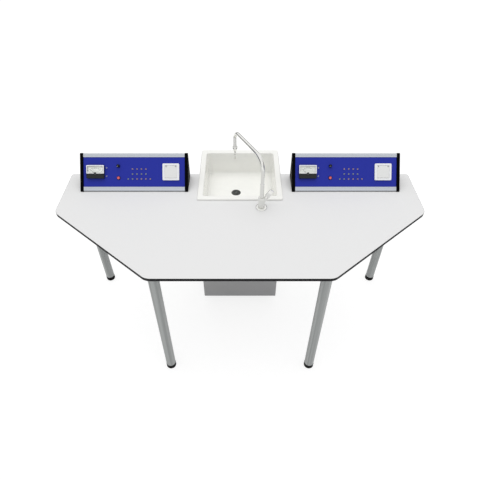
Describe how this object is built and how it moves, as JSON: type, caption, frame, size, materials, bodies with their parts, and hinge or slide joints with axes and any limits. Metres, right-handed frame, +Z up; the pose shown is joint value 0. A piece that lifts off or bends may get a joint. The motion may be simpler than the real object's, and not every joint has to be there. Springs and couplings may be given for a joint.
{
  "type": "laboratory table",
  "caption": "Half-octagon laboratory table with a ceramic sink on a rear cabinet, a single-lever swivel tap and sloping consoles with meter, jacks and lidded outlet.",
  "frame": {"origin": "on the floor, under the middle of the table's overall outline", "axes": "+X to the user's right, +Y to the rear, where the sink is, and +Z up"},
  "size_m": [1.82, 0.966, 1.091],
  "materials": {
    "laminate": "fine satin compact laminate",
    "frame_paint": "satin powder coat",
    "foot_plastic": "black moulded plastic",
    "cabinet_board": "grey melamine-faced board",
    "plinth_board": "dark grey melamine-faced board",
    "glaze": "ivory gloss glaze",
    "drain_plastic": "dark grey polypropylene",
    "trap_plastic": "white polypropylene",
    "chrome": "polished chrome plate",
    "brass": "machined brass",
    "cartridge_plastic": "moulded acetal",
    "aluminium": "satin anodised extrusion",
    "cap_plastic": "black moulded plastic",
    "panel_blue": "blue satin lacquer",
    "meter_plastic": "black moulded plastic",
    "dial_white": "white painted sheet",
    "needle_black": "black painted",
    "clear_plastic": "clear moulded cover",
    "knob_plastic": "black moulded plastic",
    "button_red": "red moulded plastic",
    "jack_metal": "nickel-plated sleeves",
    "outlet_white": "white moulded plastic",
    "transformer_steel": "varnished laminations"
  },
  "bodies": {
    "table": {"worktop": "laminate", "leg_front_left": "frame_paint", "leg_front_right": "frame_paint", "leg_rear_left": "frame_paint", "leg_rear_right": "frame_paint", "rail_front": "frame_paint", "rail_left": "frame_paint", "rail_right": "frame_paint", "rail_rear_left": "frame_paint", "rail_rear_right": "frame_paint", "bearer_left": "frame_paint", "bearer_right": "frame_paint", "cabinet_front": "cabinet_board", "cabinet_side_left": "cabinet_board", "cabinet_side_right": "cabinet_board", "cabinet_back": "cabinet_board", "cabinet_plinth": "plinth_board", "sink_basin": "glaze", "drain_strainer": "drain_plastic", "drain_backnut": "drain_plastic", "bottle_trap": "trap_plastic", "tap_rosette": "chrome", "tap_body": "chrome", "tap_backnut": "brass", "left_console_housing": "aluminium", "left_console_cap_left": "cap_plastic", "left_console_cap_right": "cap_plastic", "left_console_panel": "panel_blue", "left_meter_case": "meter_plastic", "left_meter_dial": "dial_white", "left_meter_cover": "clear_plastic", "left_jack_board": "jack_metal", "left_outlet_base": "outlet_white", "left_transformer": "transformer_steel", "right_console_housing": "aluminium", "right_console_cap_left": "cap_plastic", "right_console_cap_right": "cap_plastic", "right_console_panel": "panel_blue", "right_meter_case": "meter_plastic", "right_meter_dial": "dial_white", "right_meter_cover": "clear_plastic", "right_jack_board": "jack_metal", "right_outlet_base": "outlet_white", "right_transformer": "transformer_steel"},
    "front_left_foot": {"foot_front_left": "foot_plastic"},
    "front_right_foot": {"foot_front_right": "foot_plastic"},
    "rear_left_foot": {"foot_rear_left": "foot_plastic"},
    "rear_right_foot": {"foot_rear_right": "foot_plastic"},
    "spout": {"tap_spout": "chrome", "tap_nozzle": "chrome"},
    "cartridge": {"tap_cartridge": "cartridge_plastic"},
    "lever": {"tap_lever": "chrome"},
    "left_needle": {"left_meter_needle": "needle_black"},
    "left_knob_body": {"left_knob": "knob_plastic"},
    "left_button_body": {"left_push_button": "button_red"},
    "left_lid": {"left_outlet_lid": "outlet_white"},
    "right_needle": {"right_meter_needle": "needle_black"},
    "right_knob_body": {"right_knob": "knob_plastic"},
    "right_button_body": {"right_push_button": "button_red"},
    "right_lid": {"right_outlet_lid": "outlet_white"}
  },
  "joints": [
    {"name": "foot_front_left_level", "type": "slide", "parent": "table", "child": "front_left_foot", "axis": [0, 0, -1], "range_m": [0, 0.015]},
    {"name": "foot_front_right_level", "type": "slide", "parent": "table", "child": "front_right_foot", "axis": [0, 0, -1], "range_m": [0, 0.015]},
    {"name": "foot_rear_left_level", "type": "slide", "parent": "table", "child": "rear_left_foot", "axis": [0, 0, -1], "range_m": [0, 0.015]},
    {"name": "foot_rear_right_level", "type": "slide", "parent": "table", "child": "rear_right_foot", "axis": [0, 0, -1], "range_m": [0, 0.015]},
    {"name": "spout_swivel", "type": "hinge", "parent": "table", "child": "spout", "pos_m": [0.106, -0.019, 0.865], "axis": [0, 0, 1], "range_deg": [-45, 45]},
    {"name": "tap_temperature", "type": "hinge", "parent": "table", "child": "cartridge", "pos_m": [0.1272, -0.019, 0.86192], "axis": [0.5299, 0, 0.848], "range_deg": [-45, 45]},
    {"name": "tap_flow", "type": "hinge", "parent": "cartridge", "child": "lever", "pos_m": [0.1272, -0.019, 0.86192], "axis": [0.7344, -0.5, -0.4589], "range_deg": [0, 22]},
    {"name": "left_needle_deflection", "type": "hinge", "parent": "table", "child": "left_needle", "pos_m": [-0.7432, 0.15688, 0.87229], "axis": [0, 0.743, -0.6693], "range_deg": [0, 90], "stiffness_Nm_per_rad": 0.0002},
    {"name": "left_knob_turn", "type": "hinge", "parent": "table", "child": "left_knob_body", "pos_m": [-0.6265, 0.19343, 0.89926], "axis": [0, 0.743, -0.6693], "range_deg": [0, 300]},
    {"name": "left_button_press", "type": "slide", "parent": "table", "child": "left_button_body", "axis": [0, 0.743, -0.6693], "range_m": [0, 0.003], "stiffness_N_per_m": 400},
    {"name": "left_lid_swing", "type": "hinge", "parent": "table", "child": "left_lid", "pos_m": [-0.3558, 0.1886, 0.90361], "axis": [-1, 0, 0], "range_deg": [0, 95], "stiffness_Nm_per_rad": 0.02},
    {"name": "right_needle_deflection", "type": "hinge", "parent": "table", "child": "right_needle", "pos_m": [0.3488, 0.15688, 0.87229], "axis": [0, 0.743, -0.6693], "range_deg": [0, 90], "stiffness_Nm_per_rad": 0.0002},
    {"name": "right_knob_turn", "type": "hinge", "parent": "table", "child": "right_knob_body", "pos_m": [0.4655, 0.19343, 0.89926], "axis": [0, 0.743, -0.6693], "range_deg": [0, 300]},
    {"name": "right_button_press", "type": "slide", "parent": "table", "child": "right_button_body", "axis": [0, 0.743, -0.6693], "range_m": [0, 0.003], "stiffness_N_per_m": 400},
    {"name": "right_lid_swing", "type": "hinge", "parent": "table", "child": "right_lid", "pos_m": [0.7362, 0.1886, 0.90361], "axis": [-1, 0, 0], "range_deg": [0, 95], "stiffness_Nm_per_rad": 0.02}
  ]
}
